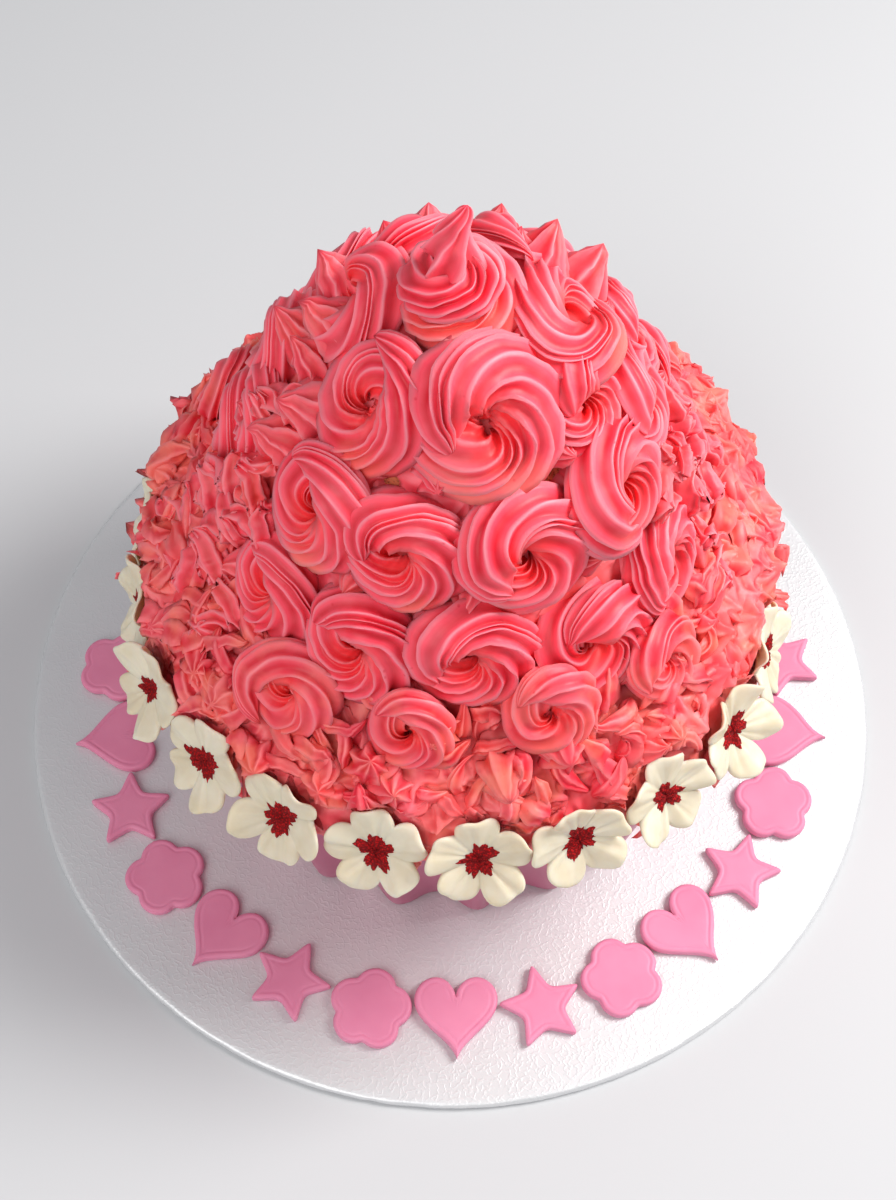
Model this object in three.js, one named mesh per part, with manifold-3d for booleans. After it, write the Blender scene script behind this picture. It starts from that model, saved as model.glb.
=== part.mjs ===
// Giant cupcake celebration cake: a fluted pink base and a tall dome of piped buttercream
// rosettes, ringed with sugar flowers, on a round silver board edged with sugar cut-outs.
// Millimetres, +Z up. The origin is the middle of the board's underside, and -Y is the front.

import * as THREE from "three";
import { mergeVertices } from "three/addons/utils/BufferGeometryUtils.js";
import Module from "manifold-3d";

const wasm = await Module();
wasm.setup();

const fullTurn = Math.PI * 2;
const gap = 0.3; // clearance between pieces that rest on each other
const seed = 11;

// Round card board, 12 inches across
const boardRadius = 152.5;
const boardThickness = 3;
const boardEdge = 0.6;
const boardSides = 44;

// Fluted base of the cupcake
const baseFootRadius = 81;
const baseTopRadius = 97;
const baseTopZ = 90;
const fluteCount = 19;
const fluteDepth = 3.4;
const fluteFront = THREE.MathUtils.degToRad(258.5); // azimuth of one flute's crest
const pointsPerFlute = 4;

// Sponge dome that the buttercream is piped on: [radius, height] up its side
const spongeSide = [
  [98, 90.3],
  [93, 102],
  [82, 116],
  [71, 132],
  [62, 150],
  [55, 168],
  [48, 184],
  [39, 198],
  [29, 211],
  [17, 222],
  [0.01, 229],
];
const spongeSides = 24;
const coatThickness = 3; // buttercream between the rosettes

// Piping
const rosetteRadius = 19;
const rosetteHeight = 14;
const rosetteRidges = 5;
const rosetteTwist = THREE.MathUtils.degToRad(150);
const domeCurve = 75; // radius of the dome under a rosette
const starRidges = 4;
const skirtRadius = 102; // the buttercream overhangs the base outside this radius

// Rings of rosettes: height on the sponge, count, azimuth of one, size
const rosetteRings = [
  { height: 211, count: 7, azimuth: 285, size: 1.03 },
  { height: 185, count: 11, azimuth: 292.3, size: 1 },
  { height: 153, count: 13, azimuth: 277.3, size: 1 },
];

// Rings of small stars below the rosettes: height on the sponge, count, azimuth of one,
// radius, and length of the pulled tip
const starRings = [
  { height: 128, count: 14, azimuth: 265, radius: 17, length: 15 },
  { height: 110, count: 17, azimuth: 272, radius: 16, length: 16 },
];

// Blobs that show between the flowers, at the very edge
const rimBlob = { height: 95, radius: 12, length: 18 };

// Gaps between rosettes where the sponge shows: azimuth, height, radius
const peeks = [
  { azimuth: 309, height: 198, radius: 3.2 },
  { azimuth: 245, height: 197, radius: 2.6 },
  { azimuth: 318, height: 169, radius: 2.6 },
];

// Sugar flowers round the edge
const flowerCount = 22;
const flowerAzimuth = 275; // one faces almost to the front
const flowerRingRadius = 106.5;
const flowerZ = 103.5;
const flowerRadius = 15;
const flowerTilt = THREE.MathUtils.degToRad(27); // how far each faces up
const petals = 5;
const petalThickness = 1.6;

// Sugar cut-outs on the board, as an arc round the front
const cutOutCount = 15;
const cutOutRingRadius = 123;
const cutOutArc = [177, 367]; // azimuths of the first and the last
const cutOutSize = 14.1;
const cutOutThickness = 3.2;

function material(color, roughness, metalness = 0) {
  return new THREE.MeshStandardMaterial({ color, roughness, metalness });
}

const materials = {
  silverFoil: material(0xdcdde0, 0.32, 0.85),
  pinkBase: material(0xdb7aa8, 0.45),
  sponge: material(0xb8864b, 0.95),
  buttercream: material(0xf4687c, 0.5),
  ivorySugar: material(0xf0e8d8, 0.6),
  pinkSugar: material(0xe982ad, 0.6),
};

// Seeded random numbers from 0 to 1, the same on every run
let randomState = seed;
function random() {
  randomState = (randomState + 0x6d2b79f5) | 0;
  let t = Math.imul(randomState ^ (randomState >>> 15), 1 | randomState);
  t = (t + Math.imul(t ^ (t >>> 7), 61 | t)) ^ t;
  return ((t ^ (t >>> 14)) >>> 0) / 4294967296;
}

function between(low, high) {
  return low + (high - low) * random();
}

// A closed skin through rows of points, each row a loop of the same length, running
// anticlockwise seen from above with the rows rising; first and last are the end points.
function loft(first, rows, last) {
  const count = rows[0].length;
  const points = [first, ...rows.flat(), last];
  const lastIndex = points.length - 1;
  const faces = [];
  for (let j = 0; j < count; j++) {
    const k = (j + 1) % count;
    faces.push(0, 1 + k, 1 + j);
    for (let i = 0; i + 1 < rows.length; i++) {
      const low = 1 + i * count;
      const high = low + count;
      faces.push(low + j, low + k, high + j, low + k, high + k, high + j);
    }
    const top = 1 + (rows.length - 1) * count;
    faces.push(top + j, top + k, lastIndex);
  }
  const geometry = new THREE.BufferGeometry().setFromPoints(points);
  geometry.setIndex(faces);
  return geometry;
}

// Boolean work: from a geometry to a solid, and back
function solidOf(geometry) {
  const bare = geometry.clone();
  bare.deleteAttribute("normal");
  bare.deleteAttribute("uv");
  const merged = mergeVertices(bare, 1e-4);
  return new wasm.Manifold(
    new wasm.Mesh({
      numProp: 3,
      vertProperties: new Float32Array(merged.attributes.position.array),
      triVerts: new Uint32Array(merged.index.array),
    }),
  );
}

function geometryOf(solid) {
  const { vertProperties, triVerts } = solid.getMesh();
  const geometry = new THREE.BufferGeometry();
  geometry.setAttribute("position", new THREE.BufferAttribute(new Float32Array(vertProperties), 3));
  geometry.setIndex(new THREE.BufferAttribute(new Uint32Array(triVerts), 1));
  geometry.computeVertexNormals();
  return geometry;
}

// The sponge's side as a curve in the XZ plane, and the place and frame of a point on it:
// local X runs round the cake, local Y up the slope and local Z straight out of it.
const spongeCurve = new THREE.CatmullRomCurve3(
  spongeSide.map(([r, z]) => new THREE.Vector3(r, 0, z)),
);

function spongePlace(azimuth, height) {
  let low = 0;
  let high = 1;
  for (let step = 0; step < 20; step++) {
    const middle = (low + high) / 2;
    if (spongeCurve.getPoint(middle).z < height) low = middle;
    else high = middle;
  }
  const point = spongeCurve.getPoint(low);
  const upSlope = spongeCurve.getTangent(low).normalize();
  const outward = new THREE.Vector3(upSlope.z, 0, -upSlope.x);
  const round = new THREE.Vector3().crossVectors(upSlope, outward);
  return new THREE.Matrix4()
    .makeRotationZ(THREE.MathUtils.degToRad(azimuth))
    .multiply(new THREE.Matrix4().makeBasis(round, upSlope, outward).setPosition(point));
}

// A form piped through a star nozzle, standing on the XY plane: crests and valleys alternate
// round it and wind by twist from the rim to the middle. Profile is [radius share, height]
// from the rim inwards. Each point sinks by its squared distance from the middle, to follow
// the dome, and lean moves the upper part sideways by the square of its height.
function pipedForm({ radius, profile, tip, ridges, depth, twist = 0, lean = [0, 0], turn = 0 }) {
  const count = ridges * 2;
  const topHeight = Math.max(tip, ...profile.map(([, z]) => z));
  const leaning = (x, y, z) => {
    const bend = (Math.max(0, z) / topHeight) ** 2;
    return new THREE.Vector3(x + lean[0] * bend, y + lean[1] * bend, z);
  };
  const rows = profile.map(([share, z]) =>
    Array.from({ length: count }, (_, j) => {
      const valley = j % 2 === 0 ? 0 : depth;
      const angle = turn + (j / count) * fullTurn + twist * (1 - share);
      const reach = radius * share * (1 - valley * share);
      const point = leaning(reach * Math.cos(angle), reach * Math.sin(angle), z);
      point.z -= reach ** 2 / (2 * domeCurve) + valley * 0.45 * Math.max(0, z);
      return point;
    }),
  );
  return loft(new THREE.Vector3(0, 0, profile[0][1]), rows, leaning(0, 0, tip));
}

function rosette(size) {
  const height = rosetteHeight * size;
  return pipedForm({
    radius: rosetteRadius * size,
    profile: [
      [1, -2],
      [0.98, height * 0.5],
      [0.68, height],
      [0.28, height * 0.72],
    ],
    tip: height * 0.45,
    ridges: rosetteRidges,
    depth: 0.16,
    twist: rosetteTwist,
    turn: between(0, fullTurn),
  });
}

// The tall swirl at the very top, wound up to a peak that leans over
function topSwirl() {
  return pipedForm({
    radius: 20,
    profile: [
      [1, -3],
      [1, 7],
      [0.84, 14],
      [0.6, 19],
      [0.36, 23.5],
      [0.2, 28.5],
    ],
    tip: 34,
    ridges: rosetteRidges + 1,
    depth: 0.18,
    twist: rosetteTwist * 1.5,
    lean: [1, 2],
  });
}

function star(radius, length) {
  const lean = between(0, fullTurn);
  return pipedForm({
    radius: radius * between(0.9, 1.1),
    profile: [
      [1, -2.5],
      [0.86, length * 0.36],
    ],
    tip: length * between(0.85, 1.05),
    ridges: starRidges,
    depth: 0.38,
    turn: between(0, fullTurn),
    lean: [5 * Math.cos(lean), 5 * Math.sin(lean)],
  });
}

// Solids of one ring round the dome, each moved a little off its even place
function ring({ count, azimuth, height }, spread, makeForm) {
  return Array.from({ length: count }, (_, i) => {
    const form = makeForm();
    const shift = between(-spread, spread);
    const lift = between(-spread, spread) * 0.6;
    form.applyMatrix4(spongePlace(azimuth + (360 / count) * i + shift, height + lift));
    return solidOf(form);
  });
}

function lathe(points, sides) {
  const profile = points.map(([r, z]) => new THREE.Vector2(r, z));
  return new THREE.LatheGeometry(profile, sides).rotateX(Math.PI / 2);
}

// The sponge's outline grown outwards by some thickness, closed on the axis
function spongeBody(thickness, floorZ) {
  const rows = 7;
  const outline = Array.from({ length: rows + 1 }, (_, i) => {
    const place = spongePlace(0, spongeCurve.getPoint(i / rows).z);
    const point = new THREE.Vector3(0, 0, thickness).applyMatrix4(place);
    return [Math.max(point.x, 0), point.z];
  });
  outline[rows][0] = 0;
  outline[0][1] = baseTopZ + gap;
  const foot = [[0, floorZ]];
  if (floorZ < outline[0][1]) foot.push([outline[0][0], floorZ]);
  return lathe([...foot, ...outline], spongeSides);
}

function cylinderAlongZ(lowRadius, highRadius, length, sides) {
  return new THREE.CylinderGeometry(highRadius, lowRadius, length, sides).rotateX(Math.PI / 2);
}

function buttercreamGeometry(flowerFrames) {
  const spongeTop = spongeSide[spongeSide.length - 1][1];
  const forms = [
    solidOf(spongeBody(coatThickness, baseTopZ + gap)),
    solidOf(topSwirl().translate(0, 0, spongeTop)),
  ];
  for (const rosettes of rosetteRings) {
    forms.push(...ring(rosettes, 2.2, () => rosette(rosettes.size * between(0.94, 1.05))));
  }
  for (const stars of starRings) {
    forms.push(...ring(stars, 2.4, () => star(stars.radius, stars.length)));
  }
  const rim = { ...rimBlob, count: flowerCount, azimuth: flowerAzimuth + 180 / flowerCount };
  forms.push(...ring(rim, 1, () => star(rimBlob.radius, rimBlob.length)));

  const seatZ = baseTopZ + gap;
  const cuts = [
    solidOf(spongeBody(gap, 0)),
    solidOf(cylinderAlongZ(skirtRadius, skirtRadius, seatZ, 24).translate(0, 0, seatZ / 2)),
  ];
  for (const { azimuth, height, radius } of peeks) {
    const hole = cylinderAlongZ(radius, radius * 1.6, 40, 7);
    cuts.push(solidOf(hole.applyMatrix4(spongePlace(azimuth, height))));
  }
  for (const frame of flowerFrames) {
    const room = cylinderAlongZ(flowerRadius + 0.8, flowerRadius + 0.8, 40, 8);
    room.translate(0, 0, 20 - petalThickness - gap);
    cuts.push(solidOf(room.applyMatrix4(frame)));
  }

  // Crumbs cut off by the flowers' seats fall away, and the largest body stays
  const joined = forms.reduce((sum, form) => sum.add(form));
  const cream = cuts.reduce((rest, cut) => rest.subtract(cut), joined);
  const bodies = cream.decompose().sort((a, b) => b.volume() - a.volume());
  return geometryOf(bodies[0]);
}

function boardGeometry() {
  const low = boardRadius - boardEdge;
  return lathe(
    [
      [0, 0],
      [low, 0],
      [boardRadius, boardEdge],
      [boardRadius, boardThickness - boardEdge],
      [low, boardThickness],
      [0, boardThickness],
    ],
    boardSides,
  );
}

function baseGeometry() {
  const count = fluteCount * pointsPerFlute;
  const footZ = boardThickness + gap;
  const row = (radius, z, depth) =>
    Array.from({ length: count }, (_, j) => {
      const angle = fluteFront + (j / count) * fullTurn;
      const reach = radius + depth * Math.cos((j / pointsPerFlute) * fullTurn);
      return new THREE.Vector3(reach * Math.cos(angle), reach * Math.sin(angle), z);
    });
  return loft(
    new THREE.Vector3(0, 0, footZ),
    [
      row(baseFootRadius, footZ, fluteDepth),
      row(baseTopRadius, baseTopZ - 3, fluteDepth),
      row(baseTopRadius - 2, baseTopZ, fluteDepth * 0.6),
    ],
    new THREE.Vector3(0, 0, baseTopZ),
  );
}

// Flower: five ruffled petals round a raised tuft, cupped a little, facing local +Z
function flowerGeometry(spin) {
  const count = petals * 3;
  const ringAt = (share, lift, thickness) =>
    Array.from({ length: count }, (_, j) => {
      const angle = spin + (j / count) * fullTurn;
      const notch = j % 3 === 0 ? 0.74 : 1;
      const ruffle = j % 3 === 1 ? 0.9 : -0.3;
      const reach = flowerRadius * share * (1 + (notch - 1) * share);
      return new THREE.Vector3(
        reach * Math.cos(angle),
        reach * Math.sin(angle),
        lift + ruffle * share - thickness,
      );
    });
  const cup = 1.6;
  return loft(
    new THREE.Vector3(0, 0, -petalThickness),
    [
      ringAt(1, cup, petalThickness),
      ringAt(1, cup, 0),
      ringAt(0.4, 0, 0),
    ],
    new THREE.Vector3(0, 0, 2.4),
  );
}

// Outlines of the sugar cut-outs, as points round their middle
const cutOutShapes = {
  heart: Array.from({ length: 16 }, (_, i) => {
    const t = (i / 16) * fullTurn + Math.PI;
    const x = 16 * Math.sin(t) ** 3;
    const y = 13 * Math.cos(t) - 5 * Math.cos(2 * t) - 2 * Math.cos(3 * t) - Math.cos(4 * t);
    return [-x / 16, (y + 2.5) / 14.5];
  }),
  star: Array.from({ length: 15 }, (_, i) => {
    const inner = i % 3 === 0;
    const reach = inner ? 0.52 : 1.04;
    const towardsTip = inner ? 0 : (i % 3 === 1 ? 0.38 : -0.38);
    const angle = ((i + towardsTip) / 15) * fullTurn + fullTurn * 0.15;
    return [reach * Math.cos(angle), reach * Math.sin(angle)];
  }),
  blossom: Array.from({ length: 15 }, (_, i) => {
    const reach = i % 3 === 0 ? 0.68 : 1;
    const angle = (i / 15) * fullTurn + fullTurn * 0.15;
    return [reach * Math.cos(angle), reach * Math.sin(angle)];
  }),
};

function cutOutGeometry(outline) {
  const row = (scale, z) => outline.map(([x, y]) => new THREE.Vector3(x * scale, y * scale, z));
  return loft(
    new THREE.Vector3(0, 0, 0),
    [
      row(cutOutSize, 0),
      row(cutOutSize, cutOutThickness - 0.8),
      row(cutOutSize - 1.6, cutOutThickness),
    ],
    new THREE.Vector3(0, 0, cutOutThickness),
  );
}

function piece(name, geometry, meshMaterial) {
  const mesh = new THREE.Mesh(geometry, meshMaterial);
  mesh.name = name;
  return mesh;
}

function numbered(index) {
  return String(index + 1).padStart(2, "0");
}

const cake = new THREE.Group();

cake.add(piece("board", boardGeometry(), materials.silverFoil));
cake.add(piece("fluted_base", baseGeometry(), materials.pinkBase));
cake.add(piece("sponge_dome", spongeBody(0, baseTopZ + gap), materials.sponge));

const flowerFrames = [];
for (let i = 0; i < flowerCount; i++) {
  const mesh = piece(`flower_${numbered(i)}`, flowerGeometry(between(0, 1.2)), materials.ivorySugar);
  const azimuth = THREE.MathUtils.degToRad(flowerAzimuth + (360 / flowerCount) * i);
  const outward = new THREE.Vector3(Math.cos(azimuth), Math.sin(azimuth), 0);
  const tilt = flowerTilt + between(-0.06, 0.06);
  const facing = outward.clone().multiplyScalar(Math.cos(tilt)).setZ(Math.sin(tilt));
  const upSlope = outward.clone().multiplyScalar(-Math.sin(tilt)).setZ(Math.cos(tilt));
  const round = new THREE.Vector3().crossVectors(upSlope, facing);
  const frame = new THREE.Matrix4().makeBasis(round, upSlope, facing);
  frame.setPosition(outward.multiplyScalar(flowerRingRadius).setZ(flowerZ));
  mesh.applyMatrix4(frame);
  flowerFrames.push(frame);
  cake.add(mesh);
}

cake.add(piece("buttercream", buttercreamGeometry(flowerFrames), materials.buttercream));

const kinds = Object.keys(cutOutShapes);
const [start, end] = cutOutArc;
for (let i = 0; i < cutOutCount; i++) {
  const kind = kinds[(i + 2) % kinds.length];
  const geometry = cutOutGeometry(cutOutShapes[kind]);
  const mesh = piece(`sugar_${kind}_${numbered(i)}`, geometry, materials.pinkSugar);
  const azimuth = THREE.MathUtils.degToRad(start + ((end - start) * i) / (cutOutCount - 1));
  mesh.position.set(
    cutOutRingRadius * Math.cos(azimuth),
    cutOutRingRadius * Math.sin(azimuth),
    boardThickness + gap,
  );
  mesh.rotation.z = azimuth + Math.PI / 2;
  cake.add(mesh);
}

export default cake;
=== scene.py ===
# Tall cupcake cake: fluted pink base, a dome of piped buttercream rosettes ringed with sugar
# flowers, on a round silver board edged with pink sugar cut-outs. Metres, +Z up, front is -Y.
import math

import bpy
import numpy as np
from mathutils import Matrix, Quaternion, Vector


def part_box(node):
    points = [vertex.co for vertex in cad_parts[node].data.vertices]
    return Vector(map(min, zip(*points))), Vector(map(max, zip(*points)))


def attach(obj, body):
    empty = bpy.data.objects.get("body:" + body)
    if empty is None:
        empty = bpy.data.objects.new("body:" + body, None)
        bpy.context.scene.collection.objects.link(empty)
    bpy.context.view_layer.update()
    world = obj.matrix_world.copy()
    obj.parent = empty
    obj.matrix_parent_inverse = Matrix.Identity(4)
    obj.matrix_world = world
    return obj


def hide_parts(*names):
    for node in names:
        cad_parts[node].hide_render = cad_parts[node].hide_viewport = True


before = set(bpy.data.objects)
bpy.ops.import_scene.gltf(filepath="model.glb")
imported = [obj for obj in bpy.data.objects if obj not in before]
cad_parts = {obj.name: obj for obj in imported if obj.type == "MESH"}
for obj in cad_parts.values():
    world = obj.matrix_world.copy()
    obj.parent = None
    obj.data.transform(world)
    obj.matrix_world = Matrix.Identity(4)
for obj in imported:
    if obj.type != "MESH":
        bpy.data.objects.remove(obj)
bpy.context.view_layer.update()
mm = 0.001
fullTurn = 2 * math.pi

# Camera: the photograph's place and angle of view
cameraView = {
    "position": (0.0, -0.3187, 0.6256),
    "target": (-0.0017, 0.0, 0.0713),
    "roll": 1.03,  # degrees, anticlockwise
    "lens": 57.0,
}


def makeCamera(view):
    data = bpy.data.cameras.new("camera")
    data.lens = view["lens"]
    data.clip_start = 0.02
    camera = bpy.data.objects.new("camera", data)
    aim = Vector(view["target"]) - Vector(view["position"])
    camera.location = view["position"]
    camera.rotation_mode = "QUATERNION"
    turn = Quaternion((0, 0, 1), math.radians(view["roll"]))
    camera.rotation_quaternion = aim.to_track_quat("-Z", "Y") @ turn
    bpy.context.scene.collection.objects.link(camera)
    bpy.context.scene.camera = camera


makeCamera(cameraView)
print("camera placed")

# Tools for grids of points and for meshes


def smoothStep(x):
    # 0 below 0, 1 above 1, and an even S between
    x = np.clip(x, 0, 1)
    return x * x * (3 - 2 * x)


def softNoise(points, wavelength, seed, octaves=2):
    # Sum of sine waves in random directions and phases, about -1 to 1, smooth in space
    rng = np.random.default_rng(seed)
    total = np.zeros(points.shape[:-1])
    for octave in range(octaves):
        for _ in range(5):
            direction = rng.normal(size=3)
            direction *= fullTurn / (wavelength / 2**octave * np.linalg.norm(direction))
            total += np.sin(points @ direction + rng.uniform(0, fullTurn)) / 2**octave
    return total / 4


def wrappedQuads(count, rows, columns):
    # Quads between neighbouring rows of closed loops, for several like tubes in a row
    tube = np.arange(count)[:, None, None] * rows * columns
    row = np.arange(rows - 1)[None, :, None] * columns
    column = np.arange(columns)[None, None, :]
    following = (column + 1) % columns
    corners = [tube + row + column, tube + row + following]
    corners += [tube + row + columns + following, tube + row + columns + column]
    return np.stack(np.broadcast_arrays(*corners), -1).reshape(-1, 4)


def poleTriangles(count, rows, columns, row, firstPole, forward):
    # Triangles that close one end row of each tube onto its pole point
    tube = np.arange(count)[:, None]
    column = np.arange(columns)[None, :]
    here = tube * rows * columns + row * columns + column
    following = tube * rows * columns + row * columns + (column + 1) % columns
    pole = np.broadcast_to(firstPole + tube, here.shape)
    order = (pole, here, following) if forward else (pole, following, here)
    return np.stack(order, -1).reshape(-1, 3)


def addPiece(name, points, quads, triangles, values, material):
    # One mesh object from arrays; values are numbers kept on the points for the material
    mesh = bpy.data.meshes.new(name)
    corners = points[triangles]
    volume = np.einsum("ij,ij->i", corners[:, 0], np.cross(corners[:, 1], corners[:, 2])).sum()
    for a, b, c in ((0, 1, 2), (0, 2, 3)):
        corners = points[quads[:, (a, b, c)]]
        volume += np.einsum("ij,ij->i", corners[:, 0], np.cross(corners[:, 1], corners[:, 2])).sum()
    if volume < 0:  # faces turned inwards
        quads = quads[:, ::-1]
        triangles = triangles[:, ::-1]
    mesh.vertices.add(len(points))
    mesh.vertices.foreach_set("co", points.astype(np.float32).ravel())
    loops = np.concatenate([quads.ravel(), triangles.ravel()])
    mesh.loops.add(len(loops))
    mesh.loops.foreach_set("vertex_index", loops.astype(np.int32))
    starts = np.arange(len(quads)) * 4
    starts = np.concatenate([starts, len(quads) * 4 + np.arange(len(triangles)) * 3])
    mesh.polygons.add(len(starts))
    mesh.polygons.foreach_set("loop_start", starts.astype(np.int32))
    mesh.update(calc_edges=True)
    mesh.shade_smooth()
    for key, value in values.items():
        layer = mesh.attributes.new(key, "FLOAT", "POINT")
        layer.data.foreach_set("value", value.astype(np.float32).ravel())
    mesh.materials.append(material)
    piece = bpy.data.objects.new(name, mesh)
    bpy.context.scene.collection.objects.link(piece)
    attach(piece, "root")
    return piece


def addTubes(name, points, startPoles, endPoles, values, material):
    # Closed tubes: points is tube, row, column, 3, and each end closes on its pole
    count, rows, columns, _ = points.shape
    body = points.reshape(-1, 3)
    allPoints = np.concatenate([body, startPoles, endPoles])
    triangles = np.concatenate([
        poleTriangles(count, rows, columns, 0, len(body), False),
        poleTriangles(count, rows, columns, rows - 1, len(body) + count, True),
    ])
    spread = {}
    for key, value in values.items():
        value = np.broadcast_to(value, (count, rows, columns))
        ends = [value[:, 0].mean(-1), value[:, -1].mean(-1)]
        spread[key] = np.concatenate([value.ravel(), *ends])
    return addPiece(name, allPoints, wrappedQuads(count, rows, columns), triangles, spread, material)


# Tools for materials


def makeGroup(name, inputs, outputs):
    tree = bpy.data.node_groups.new(name, "ShaderNodeTree")
    for socketName, kind, value in inputs:
        socket = tree.interface.new_socket(name=socketName, in_out="INPUT", socket_type=kind)
        if value is not None:
            socket.default_value = value
    for socketName, kind in outputs:
        tree.interface.new_socket(name=socketName, in_out="OUTPUT", socket_type=kind)
    return tree, tree.nodes.new("NodeGroupInput"), tree.nodes.new("NodeGroupOutput")


def addNode(tree, kind, sockets=None, **settings):
    node = tree.nodes.new(kind)
    for key, value in settings.items():
        setattr(node, key, value)
    for key, value in (sockets or {}).items():
        if isinstance(value, bpy.types.NodeSocket):
            tree.links.new(value, node.inputs[key])
        else:
            node.inputs[key].default_value = value
    return node


def addGroup(tree, group, sockets):
    node = tree.nodes.new("ShaderNodeGroup")
    node.node_tree = group
    for key, value in sockets.items():
        if isinstance(value, bpy.types.NodeSocket):
            tree.links.new(value, node.inputs[key])
        else:
            node.inputs[key].default_value = value
    return node


def calc(tree, operation, a, b=0.0, clamp=False):
    return addNode(tree, "ShaderNodeMath", {0: a, 1: b}, operation=operation, use_clamp=clamp).outputs[0]


def mixColour(tree, factor, a, b, blend="MIX"):
    node = addNode(tree, "ShaderNodeMix", {0: factor, 6: a, 7: b}, data_type="RGBA", blend_type=blend)
    return node.outputs[2]


def remap(tree, value, low, high, newLow=0.0, newHigh=1.0):
    sockets = {0: value, 1: low, 2: high, 3: newLow, 4: newHigh}
    return addNode(tree, "ShaderNodeMapRange", sockets).outputs[0]


def noise(tree, place, scale, detail=2.0, roughness=0.5):
    sockets = {"Vector": place, "Scale": scale, "Detail": detail, "Roughness": roughness}
    return addNode(tree, "ShaderNodeTexNoise", sockets).outputs[0]


def attribute(tree, name):
    return addNode(tree, "ShaderNodeAttribute", attribute_name=name).outputs["Fac"]


def startMaterial(name):
    material = bpy.data.materials.new(name)
    material.use_nodes = True
    tree = material.node_tree
    tree.nodes.clear()
    shader = tree.nodes.new("ShaderNodeBsdfPrincipled")
    output = tree.nodes.new("ShaderNodeOutputMaterial")
    tree.links.new(shader.outputs[0], output.inputs[0])
    place = tree.nodes.new("ShaderNodeTexCoord").outputs["Object"]
    return material, tree, shader, place


def rgb(red, green, blue):
    # From the 0 to 255 values of a picture to the light values of a shader
    def linear(value):
        value /= 255
        return value / 12.92 if value <= 0.04045 else ((value + 0.055) / 1.055) ** 2.4
    return (linear(red), linear(green), linear(blue), 1.0)


def makeMottleGroup():
    # Two colours mixed by soft blotches, so that no surface is one flat colour
    tree, given, made = makeGroup(
        "mottle",
        [("Place", "NodeSocketVector", None), ("Scale", "NodeSocketFloat", 60.0),
         ("Amount", "NodeSocketFloat", 0.5), ("Colour", "NodeSocketColor", None),
         ("Blotch Colour", "NodeSocketColor", None)],
        [("Colour", "NodeSocketColor"), ("Mask", "NodeSocketFloat")],
    )
    cloud = noise(tree, given.outputs["Place"], given.outputs["Scale"], 3.0, 0.55)
    mask = remap(tree, cloud, 0.35, 0.68)
    factor = calc(tree, "MULTIPLY", mask, given.outputs["Amount"])
    colour = mixColour(tree, factor, given.outputs["Colour"], given.outputs["Blotch Colour"])
    tree.links.new(colour, made.inputs["Colour"])
    tree.links.new(mask, made.inputs["Mask"])
    return tree


def makeGrainGroup():
    # Fine uneven skin with a few small pits, as a bumped normal
    tree, given, made = makeGroup(
        "grain",
        [("Place", "NodeSocketVector", None), ("Scale", "NodeSocketFloat", 900.0),
         ("Strength", "NodeSocketFloat", 0.2), ("Depth", "NodeSocketFloat", 0.0002),
         ("Pits", "NodeSocketFloat", 0.5)],
        [("Normal", "NodeSocketVector"), ("Pit Mask", "NodeSocketFloat")],
    )
    fine = noise(tree, given.outputs["Place"], given.outputs["Scale"], 2.0, 0.6)
    cells = addNode(tree, "ShaderNodeTexVoronoi",
                    {"Vector": given.outputs["Place"], "Scale": 260.0, "Randomness": 1.0})
    pit = remap(tree, cells.outputs["Distance"], 0.05, 0.16, 1.0, 0.0)
    rare = remap(tree, noise(tree, given.outputs["Place"], 90.0), 0.56, 0.62)
    pit = calc(tree, "MULTIPLY", calc(tree, "MULTIPLY", pit, rare), given.outputs["Pits"])
    height = calc(tree, "SUBTRACT", fine, pit)
    bump = addNode(tree, "ShaderNodeBump", {
        "Strength": given.outputs["Strength"],
        "Distance": given.outputs["Depth"],
        "Height": height,
    })
    tree.links.new(bump.outputs[0], made.inputs["Normal"])
    tree.links.new(pit, made.inputs["Pit Mask"])
    return tree


mottle = makeMottleGroup()
grain = makeGrainGroup()

# Buttercream: satin, with painted shade deeper and redder between its ridges, a painted highlight paler on their
# crests, and peach in patches and on lower sides

butterLook = {
    # Painted highlight: the paler colour for the crests of the ridges
    "crest": rgb(255, 136, 151),
    "body": rgb(248, 66, 89),
    # Painted shade: the darker red for the grooves between the ridges
    "valley": rgb(212, 10, 37),
    # Painted glow: saturated coral red laid on the deep middle of each rosette
    "eyeGlow": rgb(252, 54, 50),
    "peach": rgb(253, 140, 112),
    # Painted highlight on the band's crests and painted shade in its grooves
    "bandCrestHighlight": rgb(255, 124, 126),
    "bandValleyShade": rgb(216, 10, 28),
    "bandPeach": rgb(255, 136, 110),
    "bandRose": rgb(236, 40, 70),
    "roughness": 0.48,
    "softness": 0.14,  # share of light that passes under the skin
    "depth": 1.8 * mm,
}


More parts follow.
